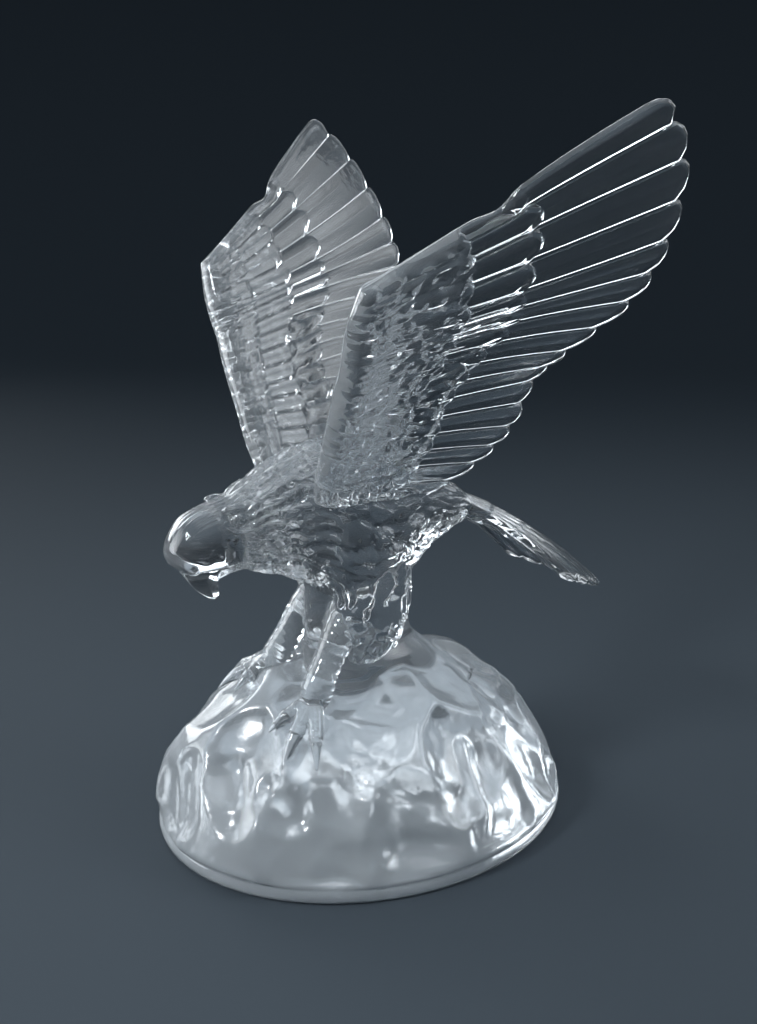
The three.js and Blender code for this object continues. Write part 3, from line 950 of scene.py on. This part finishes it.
def soften_seams(whole, old):
    """Rounds the creases where two parts meet, as molten glass does."""
    mesh = whole.data
    count = len(mesh.vertices)
    co = np.empty(count * 3)
    mesh.vertices.foreach_get("co", co)
    co = co.reshape(-1, 3)
    tree = KDTree(len(old))
    for n, p in enumerate(old):
        tree.insert(p, n)
    tree.balance()
    new = [n for n, p in enumerate(co) if tree.find(p)[2] > SAME_PLACE * MM]
    seam = KDTree(len(new))
    for n in new:
        seam.insert(co[n], n)
    seam.balance()
    gap = np.array([seam.find(p)[2] for p in co]) / MM
    weight = (1 - smooth(0, SEAM_FILLET, gap))[:, None]
    ends = np.empty(len(mesh.edges) * 2, int)
    mesh.edges.foreach_get("vertices", ends)
    a, b = ends.reshape(-1, 2).T
    degree = np.bincount(a, minlength=count) + np.bincount(b, minlength=count)
    for _ in range(SEAM_PASSES):
        total = np.stack([
            np.bincount(a, co[b, n], count) + np.bincount(b, co[a, n], count) for n in range(3)
        ], -1)
        co += 0.5 * weight * (total / degree[:, None] - co)
    mesh.vertices.foreach_set("co", co.ravel())
    mesh.update()


def build_eagle():
    parts = [rock(), trunk(), beak(), jaw(), column(), tail(), *side_parts(1), *side_parts(-1)]
    old = np.concatenate([[v.co for v in part.data.vertices] for part in parts])
    whole = joined(parts)
    soften_seams(whole, old)
    whole.data.polygons.foreach_set("use_smooth", [True] * len(whole.data.polygons))
    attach(whole, "root")
    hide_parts(NODE)
    return whole


# Stage, lights and camera, in metres

# A thin gap of air between the underside and the floor lets light out of the glass.
FLOOR_Z = -0.0002
SWEEP_FLAT = 0.9
SWEEP_BEND = 0.5
SWEEP_TOP = 0.95
FLOOR_COLOUR = (0.046, 0.058, 0.07, 1)
FLOOR_ROUGHNESS = 0.8
FLOOR_SHINE = 0.15
SKY_COLOUR = (0.34, 0.395, 0.45, 1)
LIGHT_COLOUR = (0.92, 0.965, 1)

# Soft boxes: name, place, size, radiance, spread in degrees, target
SOFTBOXES = [
    ("overhead", (0.08, -0.04, 0.75), (0.6, 0.6), 0.3, 80, (0, 0, 0)),
    ("key", (0.08, -0.93, 0.75), (0.2, 0.2), 4.2, 50, (0.1, -0.12, 0)),
    ("left", (-0.55, -0.85, 0.4), (0.7, 0.7), 0.8, 60, (0, -0.03, 0.25)),
    ("front_right", (0.52, 0.74, 0.92), (0.9, 0.9), 0.32, 50, (0, 0, 0.32)),
    ("left_back", (-1.03, -0.25, 0.6), (0.66, 0.9), 0.65, 50, (0, 0, 0.35)),
    ("right_back", (-0.25, 1.03, 0.72), (0.66, 0.8), 0.14, 50, (0, 0, 0.4)),
    ("top_back", (-0.64, 0.39, 0.66), (1.2, 0.4), 0.4, 50, (0, 0, 0.45)),
]
LIGHT_BOUNCES = 24

# The camera as fitted to the photo: place in millimetres, direction, lens
CAMERA_PLACE = (298.9, -181.3, 205.6)
CAMERA_LOOK = (-0.8171, 0.4988, -0.289)
CAMERA_LENS = 40.92


def floor():
    """A plain floor that bends up into a plain wall all round, open above."""
    profile = [(0, 0), (0.3, 0), (SWEEP_FLAT, 0)]
    for turn in np.radians(np.linspace(10, 90, 9)):
        profile.append((SWEEP_FLAT + SWEEP_BEND * math.sin(turn), SWEEP_BEND * (1 - math.cos(turn))))
    profile.append((SWEEP_FLAT + SWEEP_BEND, SWEEP_TOP))
    around = 96
    angle = np.linspace(0, 2 * np.pi, around, endpoint=False)
    points = [(r * math.cos(a), r * math.sin(a), z + FLOOR_Z) for r, z in profile[1:] for a in angle]
    points.append((0, 0, FLOOR_Z))
    hub = len(points) - 1
    faces = [(hub, n, (n + 1) % around) for n in range(around)]
    for ring in range(len(profile) - 2):
        start = ring * around
        for n in range(around):
            after = (n + 1) % around
            faces.append((start + n, start + around + n, start + around + after, start + after))
    mesh = bpy.data.meshes.new("floor")
    mesh.from_pydata(points, [], faces)
    mesh.polygons.foreach_set("use_smooth", [True] * len(mesh.polygons))
    piece = bpy.data.objects.new("floor", mesh)
    bpy.context.scene.collection.objects.link(piece)
    material = bpy.data.materials.new("floor_paint")
    material.use_nodes = True
    shader = material.node_tree.nodes["Principled BSDF"]
    shader.inputs["Roughness"].default_value = FLOOR_ROUGHNESS
    shader.inputs["Specular IOR Level"].default_value = FLOOR_SHINE
    shader.inputs["Base Color"].default_value = FLOOR_COLOUR
    mesh.materials.append(material)


def world():
    made = bpy.data.worlds.new("studio")
    bpy.context.scene.world = made
    made.use_nodes = True
    shader = made.node_tree.nodes["Background"]
    shader.inputs["Color"].default_value = SKY_COLOUR


def softbox(name, at, size, radiance, spread, target):
    light = bpy.data.lights.new(name, "AREA")
    light.spread = math.radians(spread)
    light.shape = "RECTANGLE"
    light.size, light.size_y = size
    light.energy = radiance * math.pi * size[0] * size[1]
    light.color = LIGHT_COLOUR
    lamp = bpy.data.objects.new(name, light)
    lamp.visible_camera = False
    lamp.location = at
    lamp.rotation_euler = (Vector(target) - Vector(at)).to_track_quat("-Z", "Y").to_euler()
    bpy.context.scene.collection.objects.link(lamp)


def camera():
    data = bpy.data.cameras.new("camera")
    data.sensor_fit = "AUTO"
    data.sensor_width = 36
    data.lens = CAMERA_LENS
    data.clip_start = 0.01
    seen = bpy.data.objects.new("camera", data)
    seen.location = Vector(CAMERA_PLACE) * MM
    seen.rotation_euler = Vector(CAMERA_LOOK).to_track_quat("-Z", "Y").to_euler()
    bpy.context.scene.collection.objects.link(seen)
    bpy.context.scene.camera = seen


build_eagle()
floor()
world()
for box in SOFTBOXES:
    softbox(*box)
bpy.context.scene.view_settings.view_transform = "Standard"
bpy.context.scene.cycles.max_bounces = LIGHT_BOUNCES
bpy.context.scene.cycles.transmission_bounces = LIGHT_BOUNCES
camera()
